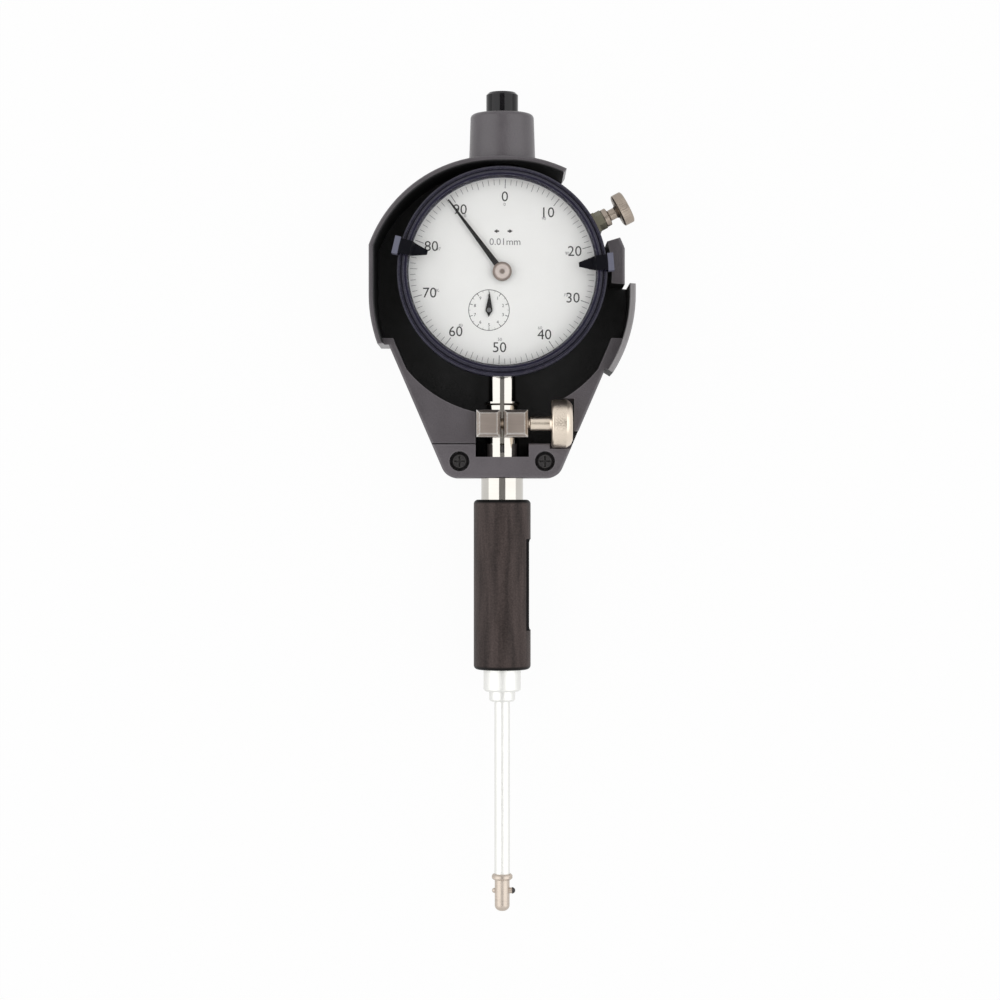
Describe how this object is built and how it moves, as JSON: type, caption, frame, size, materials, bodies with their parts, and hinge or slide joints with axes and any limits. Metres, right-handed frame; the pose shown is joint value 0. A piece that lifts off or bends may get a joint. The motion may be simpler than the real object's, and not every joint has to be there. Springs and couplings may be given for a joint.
{
  "type": "dial bore gauge",
  "caption": "Small-hole bore gauge: dial indicator in a moulded guard, clamped on a handled tube, with a slim probe whose sideways contact works the hand.",
  "frame": {"origin": "dial axis where it meets the plane of the guard's back, on which the gauge lies", "axes": "+Y along the gauge towards the spindle cap, +Z out of the dial, +X to the right of the dial"},
  "size_m": [0.0726, 0.2256, 0.0281],
  "materials": {
    "guard": "moulded, fine matt grain",
    "grip": "moulded, satin",
    "cap": "smooth",
    "bezel": "black enamel",
    "case": "black enamel",
    "black_metal": "blackened",
    "black_screw": "blackened",
    "limit_hand": "satin",
    "hand": "black",
    "dial": "matt white",
    "crystal": "clear",
    "chrome": "bright plated",
    "nickel": "satin plated, knurled",
    "dark_nickel": "dark plated",
    "satin_steel": "satin",
    "carbide": "polished hard metal",
    "steel": "ground",
    "brass": "fine turned"
  },
  "bodies": {
    "gauge": {"guard_shell": "guard", "guard_bar": "guard", "guard_screws": "black_screw", "main_tube": "chrome", "clamp_collar": "satin_steel", "grip": "grip", "end_collar": "satin_steel", "probe_tube": "chrome", "head_ring": "chrome", "measuring_head": "satin_steel", "head_plug": "satin_steel", "anvil": "satin_steel", "anvil_tip": "carbide", "rod_guide": "brass", "rod_spring": "steel", "indicator_case": "case", "case_back": "case", "back_screws": "steel", "stem": "satin_steel", "upper_bush": "satin_steel", "spindle_cap": "cap", "spring_post": "steel", "return_spring": "steel", "rear_plate": "brass", "front_plate": "brass", "plate_pillars": "brass", "plate_screws": "steel", "hairspring": "steel", "hairspring_stud": "brass", "dial_centre": "dial", "lock_block": "black_metal", "lock_bush": "dark_nickel"},
    "bezel": {"bezel": "bezel", "crystal": "crystal", "crystal_ring": "case", "dial_scale": "dial"},
    "limit_left": {"limit_hand_left": "limit_hand"},
    "limit_right": {"limit_hand_right": "limit_hand"},
    "spindle": {"spindle": "steel", "contact_point": "steel", "guide_pin": "steel"},
    "rod": {"push_rod": "steel", "rod_collar": "steel"},
    "contact": {"contact": "satin_steel", "contact_tip": "carbide"},
    "counter": {"counter_wheel": "brass", "counter_arbor": "steel", "counter_hand": "hand"},
    "centre": {"centre_pinion": "steel", "main_hand": "hand", "hand_hub": "nickel"},
    "takeup": {"takeup_wheel": "brass", "takeup_arbor": "steel"},
    "clamp_screw": {"clamp_screw": "nickel"},
    "lock_screw": {"lock_screw": "nickel"}
  },
  "joints": [
    {"name": "bezel_turn", "type": "hinge", "parent": "gauge", "child": "bezel", "pos_m": [0, 0, 0.02], "axis": [0, 0, 1], "continuous": true},
    {"name": "limit_left_turn", "type": "hinge", "parent": "bezel", "child": "limit_left", "pos_m": [0, 0, 0.027], "axis": [0, 0, 1], "range_deg": [-75, 75]},
    {"name": "limit_right_turn", "type": "hinge", "parent": "bezel", "child": "limit_right", "pos_m": [0, 0, 0.027], "axis": [0, 0, 1], "range_deg": [-75, 75]},
    {"name": "spindle_slide", "type": "slide", "parent": "gauge", "child": "spindle", "axis": [0, 1, 0], "range_m": [0, 0.0006], "stiffness_N_per_m": 150, "springref_m": -0.01, "deforming": ["return_spring"]},
    {"name": "rod_slide", "type": "slide", "parent": "gauge", "child": "rod", "axis": [0, 1, 0], "range_m": [-0.00001, 0.00061], "deforming": ["rod_spring"]},
    {"name": "contact_slide", "type": "slide", "parent": "gauge", "child": "contact", "axis": [1, 0, 0], "range_m": [-0.00001, 0.00061]},
    {"name": "counter_spin", "type": "hinge", "parent": "gauge", "child": "counter", "pos_m": [-0.00359, -0.0104, 0.018], "axis": [0, 0, 1], "range_deg": [-0.5, 22.1]},
    {"name": "hand_spin", "type": "hinge", "parent": "gauge", "child": "centre", "pos_m": [0, 0, 0.018], "axis": [0, 0, 1], "range_deg": [-221, 5]},
    {"name": "takeup_spin", "type": "hinge", "parent": "gauge", "child": "takeup", "pos_m": [0.00953, 0.0055, 0.018], "axis": [0, 0, 1], "range_deg": [-0.5, 22.1], "deforming": ["hairspring"]},
    {"name": "clamp_screw_turn", "type": "hinge", "parent": "gauge", "child": "clamp_screw", "pos_m": [0.01, -0.0411, 0.0197], "axis": [1, 0, 0], "range_deg": [0, 360]},
    {"name": "lock_screw_turn", "type": "hinge", "parent": "gauge", "child": "lock_screw", "pos_m": [0.03, 0.01595, 0.0198], "axis": [0.8829, 0.4695, 0], "range_deg": [0, 360]}
  ],
  "couplings": [
    {"joint": "rod_slide", "follows": "spindle_slide", "ratio": 1},
    {"joint": "contact_slide", "follows": "spindle_slide", "ratio": 1},
    {"joint": "counter_spin", "follows": "spindle_slide", "rad_per_m": 628.32},
    {"joint": "hand_spin", "follows": "spindle_slide", "rad_per_m": -6283.2},
    {"joint": "takeup_spin", "follows": "spindle_slide", "rad_per_m": 628.32}
  ]
}
